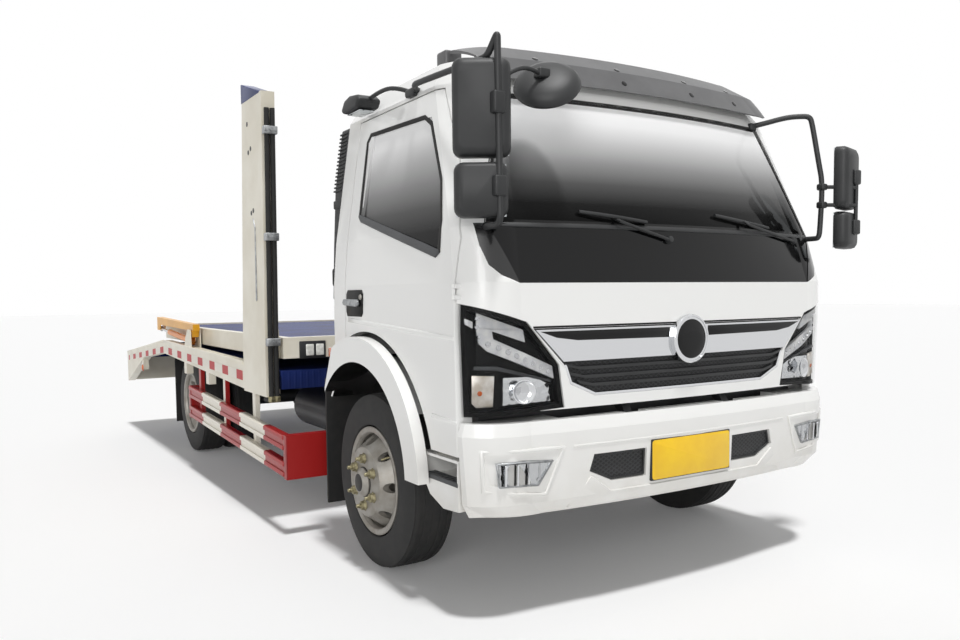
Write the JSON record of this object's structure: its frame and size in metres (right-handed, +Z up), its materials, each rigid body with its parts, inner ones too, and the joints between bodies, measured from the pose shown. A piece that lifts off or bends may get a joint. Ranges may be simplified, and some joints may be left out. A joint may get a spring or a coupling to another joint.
{
  "type": "flatbed tow truck",
  "caption": "Light cab-over flatbed tow truck with a tilting cab, opening doors, steered front wheels, twin rear wheels, a sloping lower deck and a lifting upper deck on posts.",
  "frame": {"origin": "on the ground under the middle of the truck's bounding box", "axes": "+X forward, +Y to the driver's left, +Z up"},
  "size_m": [6.0249, 2.3, 2.33],
  "materials": {
    "cab_white": "gloss",
    "deck_cream": "satin",
    "deck_blue": "satin",
    "frame_black": "satin",
    "cast_grey": "rough",
    "black_plastic": "matte",
    "gloss_black": "gloss",
    "chrome": "polished",
    "wheel_silver": "satin",
    "tyre": "matte",
    "flap_rubber": "matte",
    "glass": "clear",
    "lamp_clear": "clear",
    "guard_red": "satin",
    "arm_yellow": "gloss",
    "cylinder_orange": "gloss",
    "rod_steel": "polished",
    "seat_fabric": "woven",
    "grey_plastic": "grained"
  },
  "bodies": {
    "chassis": {"frame": "frame_black", "driveline": "cast_grey", "front_axle": "frame_black", "rear_axle": "frame_black", "tanks": "frame_black", "bumper": "cab_white", "fog_lamps": "lamp_clear", "steps": "cab_white", "mudflaps": "flap_rubber", "lower_rails": "deck_cream", "lower_floor": "deck_blue", "posts": "deck_cream", "post_hoses": "flap_rubber", "side_guards": "guard_red", "deck_lamps": "deck_cream"},
    "cab": {"cab_floor": "frame_black", "cab_back": "cab_white", "cab_roof": "cab_white", "cab_front": "cab_white", "cowl_band": "gloss_black", "windscreen": "glass", "back_window": "glass", "grille": "black_plastic", "grille_bar": "chrome", "lamp_housings": "gloss_black", "lamp_lenses": "lamp_clear", "fenders": "cab_white", "roof_visor": "black_plastic", "mirrors": "black_plastic", "dashboard": "grey_plastic", "seats": "seat_fabric", "snorkel": "black_plastic"},
    "upper_deck": {"upper_frame": "deck_cream", "upper_floor": "deck_blue"},
    "door_right": {"door_right": "cab_white", "door_glass_right": "glass"},
    "knuckle_right": {"knuckle_right": "frame_black"},
    "wheel_front_right": {"rim_front_right": "wheel_silver", "tyre_front_right": "tyre"},
    "wheel_rear_right": {"rim_rear_right": "wheel_silver", "tyre_rear_right": "tyre"},
    "arm_right": {"swing_arm_right": "arm_yellow"},
    "cylinder_right": {"cylinder_right": "cylinder_orange"},
    "rod_right": {"cylinder_rod_right": "rod_steel"},
    "door_left": {"door_left": "cab_white", "door_glass_left": "glass"},
    "knuckle_left": {"knuckle_left": "frame_black"},
    "wheel_front_left": {"rim_front_left": "wheel_silver", "tyre_front_left": "tyre"},
    "wheel_rear_left": {"rim_rear_left": "wheel_silver", "tyre_rear_left": "tyre"},
    "arm_left": {"swing_arm_left": "arm_yellow"},
    "cylinder_left": {"cylinder_left": "cylinder_orange"},
    "rod_left": {"cylinder_rod_left": "rod_steel"}
  },
  "joints": [
    {"name": "cab_tilt", "type": "hinge", "parent": "chassis", "child": "cab", "pos_m": [2.9295, 0, 0.7], "axis": [0, 1, 0], "range_deg": [0, 45]},
    {"name": "deck_lift", "type": "slide", "parent": "chassis", "child": "upper_deck", "axis": [0, 0, 1], "range_m": [0, 1]},
    {"name": "door_right_hinge", "type": "hinge", "parent": "cab", "child": "door_right", "pos_m": [2.8195, -1.008, 1.207], "axis": [0, 0, 1], "range_deg": [0, 70]},
    {"name": "steer_right", "type": "hinge", "parent": "chassis", "child": "knuckle_right", "pos_m": [2.0675, -0.77, 0.388], "axis": [0, 0, 1], "range_deg": [-32, 32]},
    {"name": "wheel_front_right_spin", "type": "hinge", "parent": "knuckle_right", "child": "wheel_front_right", "pos_m": [2.0675, -0.885, 0.388], "axis": [0, 1, 0], "continuous": true},
    {"name": "wheel_rear_right_spin", "type": "hinge", "parent": "chassis", "child": "wheel_rear_right", "pos_m": [-1.2405, -0.768, 0.388], "axis": [0, 1, 0], "continuous": true},
    {"name": "arm_right_swing", "type": "hinge", "parent": "chassis", "child": "arm_right", "pos_m": [-0.5325, -1.115, 0.945], "axis": [0, 1, 0], "range_deg": [0, 61]},
    {"name": "cylinder_right_swing", "type": "hinge", "parent": "chassis", "child": "cylinder_right", "pos_m": [-0.6125, -1.115, 0.893], "axis": [0, 1, 0], "range_deg": [0, 63]},
    {"name": "rod_right_slide", "type": "slide", "parent": "cylinder_right", "child": "rod_right", "axis": [-0.9983, 0, 0.0581], "range_m": [0, 0.092]},
    {"name": "door_left_hinge", "type": "hinge", "parent": "cab", "child": "door_left", "pos_m": [2.8195, 1.008, 1.207], "axis": [0, 0, -1], "range_deg": [0, 70]},
    {"name": "steer_left", "type": "hinge", "parent": "chassis", "child": "knuckle_left", "pos_m": [2.0675, 0.77, 0.388], "axis": [0, 0, 1], "range_deg": [-32, 32]},
    {"name": "wheel_front_left_spin", "type": "hinge", "parent": "knuckle_left", "child": "wheel_front_left", "pos_m": [2.0675, 0.885, 0.388], "axis": [0, 1, 0], "continuous": true},
    {"name": "wheel_rear_left_spin", "type": "hinge", "parent": "chassis", "child": "wheel_rear_left", "pos_m": [-1.2405, 0.768, 0.388], "axis": [0, 1, 0], "continuous": true},
    {"name": "arm_left_swing", "type": "hinge", "parent": "chassis", "child": "arm_left", "pos_m": [-0.5325, 1.115, 0.945], "axis": [0, 1, 0], "range_deg": [0, 61]},
    {"name": "cylinder_left_swing", "type": "hinge", "parent": "chassis", "child": "cylinder_left", "pos_m": [-0.6125, 1.115, 0.893], "axis": [0, 1, 0], "range_deg": [0, 63]},
    {"name": "rod_left_slide", "type": "slide", "parent": "cylinder_left", "child": "rod_left", "axis": [-0.9983, 0, 0.0581], "range_m": [0, 0.092]}
  ],
  "couplings": [
    {"joint": "arm_right_swing", "follows": "deck_lift", "rad_per_m": 1.0472},
    {"joint": "cylinder_right_swing", "follows": "deck_lift", "rad_per_m": 1.083},
    {"joint": "rod_right_slide", "follows": "deck_lift", "ratio": 0.08809},
    {"joint": "arm_left_swing", "follows": "deck_lift", "rad_per_m": 1.0472},
    {"joint": "cylinder_left_swing", "follows": "deck_lift", "rad_per_m": 1.083},
    {"joint": "rod_left_slide", "follows": "deck_lift", "ratio": 0.08809},
    {"joint": "steer_left", "follows": "steer_right", "ratio": 1}
  ]
}
